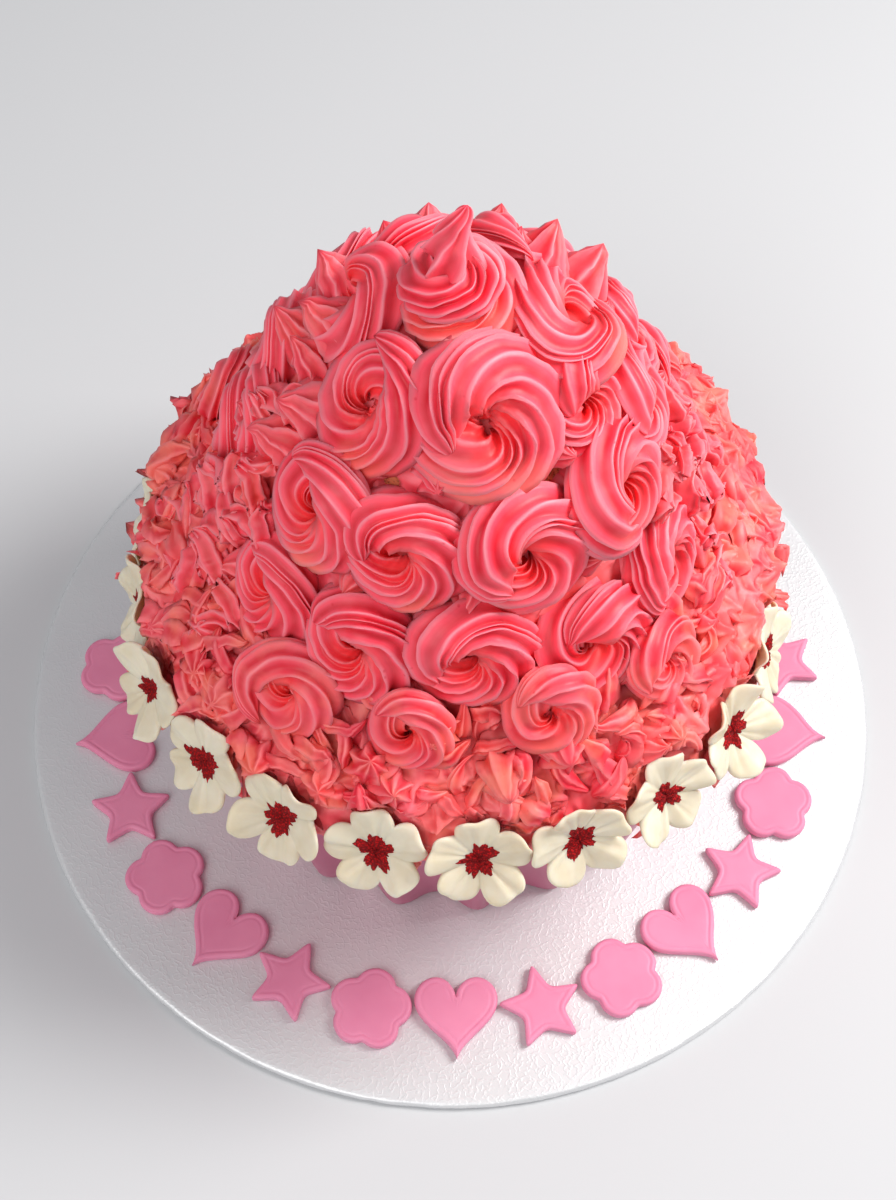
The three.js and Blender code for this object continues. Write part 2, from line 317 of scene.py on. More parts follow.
def makeButtercream(look):
    # Colour runs from painted shade in the grooves, through the body, to a painted highlight on the crests by the
    # ridge value; the band and peach values tint it, and a painted glow goes on each rosette's deep middle
    material, tree, shader, place = startMaterial("buttercream")
    ridge = attribute(tree, "ridge")
    # Painted shade in the grooves and painted highlight on the crests, by the ridge value
    low = mixColour(tree, remap(tree, ridge, 0.0, 0.4), look["valley"], look["body"])
    colour = mixColour(tree, remap(tree, ridge, 0.5, 0.95), low, look["crest"])
    banded = mixColour(tree, remap(tree, ridge, 0.1, 0.9), look["bandValleyShade"], look["bandCrestHighlight"])
    cloud = noise(tree, place, 80.0, 3.0)
    for tint, low, high, share in (("bandRose", 0.5, 0.4, 0.6), ("bandPeach", 0.5, 0.62, 0.5)):
        patches = calc(tree, "MULTIPLY", remap(tree, cloud, low, high), share)
        banded = mixColour(tree, patches, banded, look[tint])
    colour = mixColour(tree, attribute(tree, "band"), colour, banded)
    blotched = addGroup(tree, mottle, {
        "Place": place, "Scale": 55.0, "Amount": 0.3, "Colour": colour, "Blotch Colour": look["crest"],
    })
    colour = mixColour(tree, attribute(tree, "peach"), blotched.outputs["Colour"], look["peach"])
    # Painted glow on each rosette's deep middle
    colour = mixColour(tree, attribute(tree, "eyeGlow"), colour, look["eyeGlow"])
    skin = addGroup(tree, grain, {"Place": place, "Scale": 1400.0, "Strength": 0.16, "Depth": 0.15 * mm})
    # Painted shade: the small pits of the skin darkened to the groove shade colour
    colour = mixColour(tree, skin.outputs["Pit Mask"], colour, look["valley"])
    tree.links.new(colour, shader.inputs["Base Color"])
    tree.links.new(skin.outputs["Normal"], shader.inputs["Normal"])
    shader.inputs["Roughness"].default_value = look["roughness"]
    shader.inputs["Subsurface Weight"].default_value = look["softness"]
    shader.inputs["Subsurface Radius"].default_value = (1.0, 0.35, 0.25)
    shader.inputs["Subsurface Scale"].default_value = look["depth"]
    shader.inputs["Specular IOR Level"].default_value = 0.4
    return material


buttercream = makeButtercream(butterLook)

# The sponge dome under the piping: radius and height up its side, as in the frame

spongeSide = np.array([
    (98, 90.3), (93, 102), (82, 116), (71, 132), (62, 150), (55, 168),
    (48, 184), (39, 198), (29, 211), (17, 222), (0, 229),
]) * mm


def smoothSide(points, samples=400):
    # Catmull-Rom curve through the points, resampled at even steps of length
    padded = np.concatenate([[2 * points[0] - points[1]], points, [2 * points[-1] - points[-2]]])
    t = np.linspace(0, len(points) - 1, samples * 4)
    i = np.minimum(t.astype(int), len(points) - 2)
    f = (t - i)[:, None]
    a, b, c, d = (padded[i + k] for k in range(4))
    curve = 0.5 * (2 * b + (c - a) * f + (2 * a - 5 * b + 4 * c - d) * f**2 + (3 * b - a - 3 * c + d) * f**3)
    length = np.concatenate([[0], np.cumsum(np.linalg.norm(np.diff(curve, axis=0), axis=1))])
    even = np.linspace(0, length[-1], samples)
    return np.stack([np.interp(even, length, curve[:, k]) for k in range(2)], 1)


sideCurve = smoothSide(spongeSide)
sideSlope = np.gradient(sideCurve, axis=0)
sideSlope /= np.linalg.norm(sideSlope, axis=1)[:, None]


def domePlaces(azimuths, heights):
    # Foot point and frame on the sponge: local X round the cake, Y up the slope, Z straight out
    azimuths = np.radians(azimuths)
    heights = np.asarray(heights) * mm
    index = np.interp(heights, sideCurve[:, 1], np.arange(len(sideCurve)))
    radius, upR, upZ = (
        np.interp(index, np.arange(len(sideCurve)), values)
        for values in (sideCurve[:, 0], sideSlope[:, 0], sideSlope[:, 1])
    )
    ray = np.stack([np.cos(azimuths), np.sin(azimuths), 0 * azimuths], 1)
    foot = ray * radius[:, None]
    foot[:, 2] = heights
    up = ray * upR[:, None]
    up[:, 2] = upZ
    out = ray * upZ[:, None]
    out[:, 2] = -upR
    return foot, np.stack([np.cross(up, out), up, out], 1), radius / np.maximum(upZ, 0.2)


def ontoDome(local, foot, axes, hoop):
    # Local points to the cake, sinking by the squared distance over the dome's two curvatures
    local = local.copy()
    bend = (slice(None),) + (None,) * (local.ndim - 2)
    local[..., 2] -= local[..., 0] ** 2 / (2 * np.maximum(hoop, 34 * mm)[bend]) + local[..., 1] ** 2 / (2 * 0.16)
    turned = np.einsum("k...i,kij->k...j", local, axes)
    return foot[(slice(None),) + (None,) * (local.ndim - 2)] + turned


def starSection(teeth, perTooth, cut):
    # Ring of a star nozzle: full at each tooth's crest, cut in by the sine between crests
    angle = np.arange(teeth * perTooth) / (teeth * perTooth) * fullTurn
    hollow = np.abs(np.sin(angle * teeth / 2)) ** 0.85
    return angle, 1 - cut * hollow, 1 - hollow


def strandPoints(path, heading, lift, width, squash, teeth, perTooth, cut, phase, turnShare=1.0):
    # A strand laid by a star nozzle: as the path winds, the nozzle turns back against it, so
    # each ridge crosses the strand by turnShare of the winding. Arrays are strand, step. The
    # teeth are unevenly wide, by two sines of the angle, and their cuts deepen and fade.
    angle, reach, ridge = starSection(teeth, perTooth, cut)
    first = phase[:, None, None] * 7
    uneven = 0.2 * np.sin(2 * angle + first) + 0.13 * np.sin(3 * angle + first * 1.7)
    deep = 1 + 0.3 * np.sin(angle + first * 2.3 + heading[:, :, None] * 0.8)
    reach = 1 - (1 - reach) * deep
    delta = angle + uneven + phase[:, None, None] - turnShare * heading[:, :, None]
    side = width[:, :, None] * reach * np.sin(delta)
    height = width[:, :, None] * reach * np.cos(delta) * squash
    x = path[:, :, None, 0] + np.sin(heading)[:, :, None] * side
    y = path[:, :, None, 1] - np.cos(heading)[:, :, None] * side
    return np.stack([x, y, lift[:, :, None] + height], -1), np.broadcast_to(ridge, x.shape)


# The sugar flowers' places come first, because the buttercream stays behind them
flowerLook = {
    "count": 22,
    "firstAzimuth": 275,
    "ringRadius": 106.5 * mm,
    "height": 103.5 * mm,
    "radius": 16.2 * mm,
    "tilt": 27,
    "sideTilt": 5,
    "rearTilt": 18,
    "sideInset": 6.5 * mm,
    "sideRise": 1.5 * mm,
    "rearDrop": 4.5 * mm,
    "petals": 5,
    "rows": 20,
    "columns": 110,
    "thickness": 2.0 * mm,
    "ivory": rgb(226, 217, 196),
    "cream": rgb(210, 195, 164),
    "red": rgb(214, 12, 18),
    # Painted shade in the crevices between the red grains
    "creviceShadeRed": rgb(120, 2, 8),
}

# Rosettes: azimuth and height on the sponge, outer radius in mm, and the compass angle, seen
# from outside, at which the strand ends in a leaf, with how far out the leaf's point lies
rosetteLook = {
    "teeth": 11,
    "perTooth": 6,
    "steps": 90,
    "cut": 0.3,
    "squash": 0.76,
    "windOut": 0.42,  # turns from the middle to the ring
    "ringTurns": 0.8,
    "leafTurns": 0.42,
    "ridgeTurn": 0.86,
    "grown": 1.04,
}


topTier = [
    (284, 214, 23, 212, 0.56), (225.5, 211, 18.5, 118, 0.95), (165, 216, 18.5, 235, 0.5),
    (4, 217.5, 19.5, 318, 0.75), (334, 206, 16.5, 172, 0.42), (58, 212, 19, 120, 0.7),
    (111, 212, 19, 150, 0.6),
]
middleTier = [
    (327, 185, 19.5, 266, 0.72), (291, 183, 20, 242, 0.6), (255, 183.6, 18.8, 206, 0.58),
    (226, 183.8, 18.5, 148, 0.85), (180, 176, 16, 160, 0.8), (357, 189, 17.5, 200, 0.6),
    (27, 185, 18.5, 150, 0.6), (60, 186, 18.5, 170, 0.7), (94, 184, 19, 140, 0.6),
    (128, 186, 18.5, 190, 0.6), (161, 185, 18.5, 160, 0.7),
]
lowTier = [
    (220, 149, 18, 150, 0.8), (247.5, 150, 19.5, 166, 0.72), (274.5, 153, 19.5, 220, 0.62),
    (305.5, 146, 20, 150, 0.5), (333, 150, 19, 230, 0.7),
    (28, 152, 18.5, 140, 0.7), (55, 150, 19, 200, 0.7), (82, 152, 19, 160, 0.8),
    (109, 150, 18.5, 150, 0.7), (137, 152, 19, 175, 0.7), (165, 151, 18.5, 150, 0.7),
]
footTier = [
    (236, 129, 15.5, 250, 1.0), (262, 131, 13, 160, 0.8), (291, 134, 14.5, 150, 0.8), (319, 128, 14, 200, 0.8),
    (41, 130, 14.5, 180, 0.8), (68, 129, 15, 150, 0.8),
    (95, 131, 14, 170, 0.8), (123, 129, 15, 150, 0.8), (151, 130, 14.5, 160, 0.8),
]


def addRosettes(name, places, look, seed, band=0.0, teeth=None, raised=0.0):
    # Path: out from a low middle, round the ring anticlockwise while it widens and climbs, then
    # a leaf laid over the ring's start, full width until it tapers to a point
    places = np.array(places, float)
    rng = np.random.default_rng(seed)
    count, steps = len(places), look["steps"]
    radius = places[:, 2:3] * look["grown"] * mm
    turns = look["windOut"] + look["ringTurns"] + look["leafTurns"]
    t = np.linspace(0, turns, steps)[None, :]
    out = smoothStep(t / look["windOut"])
    ring = np.clip((t - look["windOut"]) / look["ringTurns"], 0, 1)
    leaf = np.clip((t - look["windOut"] - look["ringTurns"]) / look["leafTurns"], 0, 1)
    wobble = rng.uniform(-1, 1, (4, count, 1))
    angle = np.radians(places[:, 3:4]) - (turns - t) * fullTurn
    share = 0.09 + 0.41 * out + 0.06 * ring + 0.045 * wobble[0] * np.sin(angle * 2 + wobble[1] * 3) * out
    share += (places[:, 4:5] - 0.56) * smoothStep(leaf)
    reach = radius * share
    taper = (1 - np.clip((leaf - 0.45) / 0.55, 0, 1) ** 1.7) ** 0.75
    taper = taper * np.sqrt(1 - (1 - np.clip(t / 0.12 + 0.02, 0, 1)) ** 2)
    width = radius * (0.31 + 0.13 * out + 0.02 * ring) * (1 - 0.06 * smoothStep(leaf * 2)) * taper
    ripple = np.sin(t * fullTurn * 15 + 4 * wobble[3] * np.sin(angle)) * smoothStep(wobble[2] * 2)
    width *= 1 + 0.03 * np.sin(angle * 3 + wobble[2] * 3) + 0.022 * ripple * out
    path = np.stack([reach * np.cos(angle), reach * np.sin(angle)], -1)
    step = np.gradient(path, axis=1)
    heading = np.unwrap(np.arctan2(step[..., 1], step[..., 0]), axis=1)
    round_ = angle + math.pi / 2
    heading -= np.round((heading - round_).mean(1, keepdims=True) / fullTurn) * fullTurn
    heading = heading + (round_ - heading) * (1 - out)
    squash = look["squash"]
    lift = radius * (0.08 + 0.12 * out + 0.12 * ring + 0.2 * smoothStep(leaf * 2.2))
    lift -= (1 - taper) * radius * 0.06 * out
    points, ridge = strandPoints(
        path[:, :-1], heading[:, :-1], lift[:, :-1], width[:, :-1], squash,
        teeth or look["teeth"], look["perTooth"], look["cut"], rng.uniform(0, 1, count), look["ridgeTurn"],
    )
    ends = np.concatenate([path, lift[..., None]], -1)
    foot, axes, hoop = domePlaces(places[:, 0], places[:, 1])
    foot = foot + axes[:, 2] * (raised + rng.uniform(-0.8, 1.2, (count, 1))) * mm
    body = ontoDome(points, foot, axes, hoop)
    poles = ontoDome(ends[:, (0, -1)], foot, axes, hoop)
    for group in (body, poles):
        for k in range(3):
            group[..., k] += softNoise(group, 16 * mm, seed + k) * 0.5 * mm
    # A peach tint on the lower side of each rosette, in soft patches of noise
    low = np.clip(-points[..., 1] / radius[:, :, None], 0, 1) ** 2
    patchy = smoothStep((softNoise(body, 30 * mm, seed + 9) + 0.1) * 1.4)
    deep = smoothStep(1.25 - np.linalg.norm(points[..., :2], axis=-1) / radius[:, :, None] * 2.2)
    values = {
        "ridge": ridge,
        # Painted glow on the deep middle of each rosette
        "eyeGlow": 0.7 * deep,
        "peach": 0.65 * low * patchy,
        "band": np.full(ridge.shape, band),
    }
    return addTubes(name, body, poles[:, 0], poles[:, 1], values, buttercream)


creamPieces = [
    addRosettes("rosettes_top", topTier, rosetteLook, 21),
    addRosettes("rosettes_middle", middleTier, rosetteLook, 22),
    addRosettes("rosettes_low", lowTier, rosetteLook, 23),
    addRosettes("rosettes_foot", footTier, rosetteLook, 24, band=0.5, teeth=8, raised=7.0),
]
print("rosettes piped")

# The tall swirl at the top: a wide turn and a narrower one above it, then a pulled, leaning tip.
# Each course: turns from the start, path radius, strand half width, height over the foot, in mm
swirlLook = {
    "foot": 226 * mm,
    "startAngle": 165,
    "steps": 150,
    "course": [
        (0.0, 9.0, 5.5, 4.0), (0.15, 9.4, 8.4, 5.0), (0.9, 9.4, 8.8, 8.0), (1.15, 7.8, 8.2, 12.0),
        (1.5, 4.8, 7.4, 16.5), (1.8, 2.6, 5.8, 20.0), (1.95, 2.0, 0.3, 21.0),
    ],
    "tipLow": 13 * mm,
    "tipHigh": 34.5 * mm,
    "tipRadius": 9.8 * mm,
    "tipTwist": 2.2,
    "tipLean": [(0, 1, 0), (0.3, -1.5, 1.0), (0.55, -3.0, 2.0), (0.8, -1.5, 4.0), (1, 1.5, 5.5)],
}


def addTopSwirl(look):
    # Path: a helix through the listed courses, anticlockwise
    course = np.array(look["course"])
    turns = np.linspace(0, course[-1, 0], look["steps"])
    smooth = np.ones(9) / 9
    reach, width, lift = (
        np.convolve(np.pad(np.interp(turns, course[:, 0], course[:, k]), 4, mode="edge"), smooth, "valid")
        for k in (1, 2, 3)
    )
    reach, width, lift = (values[None] * mm for values in (reach, width, lift))
    angle = math.radians(look["startAngle"]) + turns[None] * fullTurn
    path = np.stack([reach * np.cos(angle), reach * np.sin(angle)], -1)
    points, ridge = strandPoints(
        path, angle + math.pi / 2, lift, width, 0.78, 10, 8, 0.34, np.array([1.1]), 0.8,
    )
    ends = np.concatenate([path, lift[..., None]], -1)
    roughen(look, points, ends)
    under = smoothStep((0.95 - turns) * 3)[None, :, None] * smoothStep(-points[..., 1] / (12 * mm))
    values = {"ridge": ridge, "peach": 0.3 * under}
    return addTubes("top_swirl", points, ends[:, 0], ends[:, -1], values, buttercream)


def addTopTip(look):
    # A star cone that narrows, twists and leans through the listed shares of its height
    angle, reach, ridge = starSection(6, 12, 0.42)
    t = np.linspace(0, 1, 40)[None, :, None]
    lean = np.array(look["tipLean"])
    middle = [np.interp(t, lean[:, 0], lean[:, k]) * mm for k in (1, 2)]
    radius = look["tipRadius"] * (1 - t**5) ** 0.7 * (1 - 0.42 * t) * (0.82 + 0.18 * np.sin(t * 7 - 0.6))
    around = angle + look["tipTwist"] * t
    height = look["tipLow"] + (look["tipHigh"] - look["tipLow"]) * t + 0 * around
    points = np.stack([middle[0] + radius * reach * np.cos(around) * (1 + 0.25 * t),
                       middle[1] + radius * reach * np.sin(around) * (1 - 0.2 * t), height], -1)
    ends = points[:, (0, -1)].mean(2)
    roughen(look, points, ends)
    points = points[:, :-1]
    values = {"ridge": np.broadcast_to(ridge, points.shape[:3])}
    return addTubes("top_tip", points, ends[:, 0], ends[:, 1], values, buttercream)


def roughen(look, *groups):
    # Lift to the swirl's foot, and shift by soft noise so that no turn is perfect
    for group in groups:
        group[..., 2] += look["foot"]
        for k in range(3):
            group[..., k] += softNoise(group, 12 * mm, 61 + k) * 0.6 * mm


creamPieces.append(addTopSwirl(swirlLook))
creamPieces.append(addTopTip(swirlLook))


# Lower band: small stars of buttercream packed side by side, with torn leaves piled on them

bandLook = {
    "starTeeth": 7,
    "leafTeeth": 5,
    "perTooth": 4,
    "starRows": 11,
    "leafSteps": 12,
    "high": 139.0,
    "low": 91.5,
    "leaves": 410,
    "peaks": 46,
}

# Heights in mm; bank: share of the way up, and thickness under the stars in mm
packedBand = {
    "low": 90.3,
    "high": 142.0,
    "rows": 96,
    "columns": 960,
    "spacing": 10.0 * mm,
    "tall": (4.0, 8.5),
    "round": (0.2, 0.9),
    "bank": [(0, -2), (0.04, 4.5), (0.15, 8), (0.35, 9), (0.6, 7), (0.88, 2.5), (1, -1)],
    "rearShare": 0.5,
    "band": 1.0,
    "gaps": [(0, 90, 0.01)],
}

# Between the rosettes; the sponge shows in the gaps: azimuth, height and radius in mm
packedCoat = {
    "low": 134.0,
    "high": 229.0,
    "rows": 120,
    "columns": 640,
    "spacing": 12.5 * mm,
    "tall": (4.5, 7.5),
    "round": (0.2, 0.8),
    "bank": [(0, -1), (0.1, 0.8), (0.9, 0.8), (1, 1.5)],
    "rearShare": 0.0,
    "band": 0.25,
    "gaps": [(310, 197.5, 4.2), (246, 197, 2.4), (318, 169, 3.4), (293.7, 186, 5.0)],
}


def flowerFrames(look):
    # Middle point and axes of each flower: X round the cake, Y up its face, Z the way it faces.
    # The ones at the sides and back stand more upright, close against the buttercream.
    azimuth = np.radians(look["firstAzimuth"] + np.arange(look["count"]) * 360 / look["count"])
    rng = np.random.default_rng(43)
    aside = smoothStep((np.sin(azimuth) + 0.5) * 2.5)
    behind = smoothStep((np.sin(azimuth) + 0.2) * 4)
    tilt = look["tilt"] + (look["sideTilt"] - look["tilt"]) * aside
    tilt += (look["rearTilt"] - look["sideTilt"]) * behind
    tilt = np.radians(tilt + rng.uniform(-4, 4, look["count"]))[:, None]
    ray = np.stack([np.cos(azimuth), np.sin(azimuth), 0 * azimuth], 1)
    vertical = np.array([[0, 0, 1.0]])
    aside = aside[:, None]
    middle = ray * (look["ringRadius"] - look["sideInset"] * aside)
    drop = look["rearDrop"] * (behind * smoothStep((np.cos(azimuth - 0.5) + 0.95) * 1.5))[:, None]
    middle += vertical * (look["height"] + look["sideRise"] * aside - drop)
    facing = ray * np.cos(tilt) + vertical * np.sin(tilt)
    up = -ray * np.sin(tilt) + vertical * np.cos(tilt)
    return middle, np.stack([np.cross(up, facing), up, facing], 1)


def behindFlowers(points):
    # Points inside a flower's round that reach its petals are pressed back behind them
    for middle, axes in zip(*flowerFrames(flowerLook)):
        local = (points - middle) @ axes.T
        away = np.hypot(local[..., 0], local[..., 1]) / flowerLook["radius"]
        press = smoothStep((1.06 - away) * 6) * np.maximum(local[..., 2] + 2.4 * mm, 0)
        press *= local[..., 2] < 16 * mm
        points = points - axes[2] * press[..., None]
    return points


# Single stars: azimuth, height, radius, how far they stand out, and the lean of the tip, in mm
looseStars = [
    (231, 196.5, 9.0, 12, -6, -5), (262, 203, 7, 9, 2, -3), (203, 199, 10, 13, -6, -3), (176, 211, 10, 15, -6, -5), (183, 201, 8, 12, -3, 4),
    (155, 210, 10, 19, -3, 1), (128, 214, 9, 15, -2, 2), (107, 212, 11, 16, -3, 0), (74, 206, 10, 16, 2, 1),
    (44, 214, 11, 18, 4, 1), (34, 205, 11, 20, 3, 1), (170, 199, 9.5, 17, -3, 1), (90, 216, 9, 13, 1, 2),
    (58, 217, 9, 13, 1, 2), (20, 200, 8, 11, 3, 2), (345, 198, 7.5, 10, 3, -2), (200, 186, 10, 13, -5, -1),
    (313, 202, 6, 8, 2, -3), (275, 171, 6, 8, -2, -3), (243, 168, 6, 9, -2, -2), (212, 168, 7, 9, -3, -2),
    (310, 171, 6, 8, 2, 2), (347, 171, 7, 10, 3, 1), (14, 170, 7, 10, 3, 2), (45, 168, 7, 10, 3, 3),
    (78, 169, 7, 10, 1, 4), (110, 168, 7, 11, -2, 3), (145, 169, 7, 10, -3, 2), (178, 169, 7, 10, -4, 1),
    (236, 140, 7.5, 9, -3, -4), (263, 140, 7, 8, -2, -3), (292, 141, 7, 9, 3, -3), (320, 139, 7.5, 9, 3, -2),
    (348, 140, 7, 9, 3, -2), (206, 140, 7.5, 9, -3, -3), (178, 141, 7.5, 9, -4, 0), (150, 139, 7.5, 9, -3, 2),
    (122, 140, 7.5, 9, -3, 3), (95, 140, 7.5, 9, 0, 4), (67, 139, 7.5, 9, 2, 3), (41, 140, 7.5, 9, 3, 2),
    (14, 140, 7.5, 9, 4, 0),
]


def bankAt(height, look):
    # Thickness of the bank under a place, by its height in mm, and a little more than half a star
    share = (height - look["low"]) / (look["high"] - look["low"])
    return np.interp(share, *np.array(look["bank"]).T)[:, None] * mm + 2.5 * mm


def peakPlaces(look, seed):
    # Stars spread over the band by the golden angle, as rows of a star list
    rng = np.random.default_rng(seed)
    count = look["peaks"]
    index = np.arange(count)
    azimuth = index * 360 * 0.618034
    tall = rng.uniform(7, 11, count) * (1 - 0.5 * np.abs(np.cos(np.radians(azimuth))) ** 3)
    rows = [azimuth, rng.uniform(98, 134, count), rng.uniform(6.5, 9, count), tall]
    rows += [rng.normal(0, 3, count), rng.normal(-1, 3, count)]
    return np.stack(rows, 1)


def addStars(name, places, look, seed, raised=1.5 * mm, band=0.3):
    # Drop stars: a star section that swells, then narrows to a tip that leans over
    rng = np.random.default_rng(seed)
    places = np.array(places, float)
    count, rows = len(places), look["starRows"]
    angle, reach, ridge = starSection(look["starTeeth"], look["perTooth"], 0.36)
    t = np.linspace(0, 1, rows)[None, :, None]
    radius, tall = (places[:, k][:, None, None] * mm for k in (2, 3))
    lean = places[:, 4:6] * mm
    profile = (1 - t) ** 0.7 * (0.95 + 0.35 * np.sin(t * math.pi))
    around = angle + rng.uniform(0, fullTurn, (count, 1, 1)) + rng.uniform(0.2, 0.8, (count, 1, 1)) * t
    x = radius * profile * reach * np.cos(around) + lean[:, 0, None, None] * t**2
    y = radius * profile * reach * np.sin(around) + lean[:, 1, None, None] * t**2
    z = tall * t**1.1 + 0 * x
    points = np.stack([x, y, z], -1)[:, :-1]
    start = np.zeros((count, 3))
    end = np.column_stack([lean, places[:, 3] * mm])
    ridge = np.broadcast_to(ridge, points.shape[:3])
    return placeBand(name, points, start, end, ridge, places[:, 0], places[:, 1], seed, raised, band)


def addLeaves(name, look, seed):
    # Short pulls of the nozzle: thick at the start, curving away and torn off to a raised point
    rng = np.random.default_rng(seed)
    count, steps = look["leaves"], look["leafSteps"]
    index = np.arange(count)
    azimuth = index * 360 * 0.618034 + rng.uniform(-5, 5, count)
    share = ((index + 0.5) / count) ** 1.2
    height = look["low"] + (look["high"] - look["low"]) * share + rng.uniform(-2, 2, count)
    t = np.linspace(0, 1, steps)[None, :]
    beside = np.abs(np.cos(np.radians(azimuth)))[:, None] ** 3
    length = rng.uniform(10, 18, (count, 1)) * mm * (1 + 0.5 * beside)
    heading = rng.uniform(0, fullTurn, (count, 1)) + t * rng.normal(0, 1.6, (count, 1))
    stride = length / (steps - 1)
    path = np.stack([np.cumsum(np.cos(heading) * stride, 1), np.cumsum(np.sin(heading) * stride, 1)], -1)
    path -= path[:, steps // 3][:, None]
    width = rng.uniform(2.6, 5.2, (count, 1)) * mm * smoothStep(0.35 + t * 4) * (1 - t**2) ** 0.8
    width = width * (1 + 0.35 * beside)
    lift = width * 0.35 + rng.uniform(0, 3.5, (count, 1)) * mm * smoothStep(t * 1.2) * (1 - 0.5 * beside)
    points, ridge = strandPoints(
        path[:, :-1], heading[:, :-1], lift[:, :-1], width[:, :-1], 0.8,
        look["leafTeeth"], look["perTooth"], 0.38, rng.uniform(0, fullTurn, count),
    )
    ends = np.concatenate([path, lift[..., None]], -1)
    raised = bankAt(height, packedBand)
    return placeBand(name, points, ends[:, 0], ends[:, -1], ridge, azimuth, height, seed, raised, 1.0)


# Pleated pulls of buttercream at the two sides: azimuth, height, the way each runs in degrees
# from level, its length and its half width in mm
ruffleLook = {
    "steps": 110,
    "teeth": 5,
    "pleat": 17 * mm,
    "sway": 6.5 * mm,
    "places": [
        (187, 152, 80, 34, 5.0), (198, 144, 105, 32, 5.2), (208, 163, 70, 22, 4.4), (196, 124, 60, 28, 5.0),
        (212, 131, 110, 22, 4.6), (183, 128, 95, 26, 4.8), (202, 173, 75, 20, 4.4), (192, 192, 85, 20, 4.2),
        (353, 158, 95, 28, 4.8), (3, 148, 80, 30, 5.0), (14, 138, 100, 26, 4.8), (348, 132, 70, 24, 4.6),
        (2, 126, 100, 22, 4.4), (10, 167, 85, 24, 4.4), (344, 172, 60, 20, 4.0),
    ],
}


def addRuffles(name, look, seed):
    # Path: along its way, with a sine sway to both sides that fades at the ends
    rng = np.random.default_rng(seed)
    places = np.array(look["places"], float)
    count = len(places)
    t = np.linspace(0, 1, look["steps"])[None, :]
    way = np.radians(places[:, 2:3])
    length, half = places[:, 3:4] * mm, places[:, 4:5] * mm
    fold = length / look["pleat"] * fullTurn * t + rng.uniform(0, fullTurn, (count, 1))
    ends = smoothStep(t * 6) * smoothStep((1 - t) * 4)
    sway = look["sway"] * np.sin(fold) * ends * (1 + 0.3 * np.sin(fold * 0.37 + way))
    along = (t - 0.5) * length + 1.5 * mm * np.sin(fold * 2 + 1)
    path = np.stack([along * np.cos(way) - sway * np.sin(way), along * np.sin(way) + sway * np.cos(way)], -1)
    step = np.gradient(path, axis=1)
    heading = np.unwrap(np.arctan2(step[..., 1], step[..., 0]), axis=1)
    width = half * smoothStep(0.4 + t * 8) * (1 - t**6) ** 0.7 * (1 + 0.12 * np.sin(fold * 0.8))
    lift = width * 0.6 + (2.6 + 2.2 * np.sin(fold + 0.8) * ends) * mm
    points, ridge = strandPoints(
        path[:, :-1], heading[:, :-1], lift[:, :-1], width[:, :-1], 1.1,
        look["teeth"], 6, 0.4, rng.uniform(0, 1, count), 1.0,
    )
    ends = np.concatenate([path, lift[..., None]], -1)
    return placeBand(
        name, points, ends[:, 0], ends[:, -1], ridge, places[:, 0], places[:, 1], seed, 3.5 * mm, 0.3,
    )


def placeBand(name, points, start, end, ridge, azimuth, height, seed, raised, band):
    foot, axes, hoop = domePlaces(azimuth, height)
    foot = foot + axes[:, 2] * raised
    body = ontoDome(points, foot, axes, hoop)
    poles = ontoDome(np.stack([start, end], 1), foot, axes, hoop)
    for group in (body, poles):
        for k in range(3):
            group[..., k] += softNoise(group, 7 * mm, seed + k) * 0.7 * mm
    body, poles = behindFlowers(body), behindFlowers(poles)
    warm = smoothStep((softNoise(body, 45 * mm, 77) + 0.15) * 1.2)
    values = {"ridge": ridge, "peach": 0.2 * warm * band, "band": np.full(ridge.shape, band)}
    return addTubes(name, body, poles[:, 0], poles[:, 1], values, buttercream)


def starSeeds(look, rng):
    # Places for the packed stars: rows up the slope, evenly spread round the cake, then shaken
    heights, azimuths = [], []
    slope = np.concatenate([[0], np.cumsum(np.linalg.norm(np.diff(sideCurve, axis=0), axis=1))])
    low, high = (np.interp(look[key] * mm, sideCurve[:, 1], slope) for key in ("low", "high"))
    for place in np.arange(low + 3 * mm, high, look["spacing"] * 0.9):
        radius = np.interp(place, slope, sideCurve[:, 0])
        around = int(round(fullTurn * radius / look["spacing"]))
        azimuths.append(np.arange(around) / around * 360 + rng.uniform(0, 360) + rng.normal(0, 2.8, around))
        heights.append(np.interp(place + rng.normal(0, 3 * mm, around), slope, sideCurve[:, 1]) / mm)
    return np.concatenate(azimuths), np.concatenate(heights)


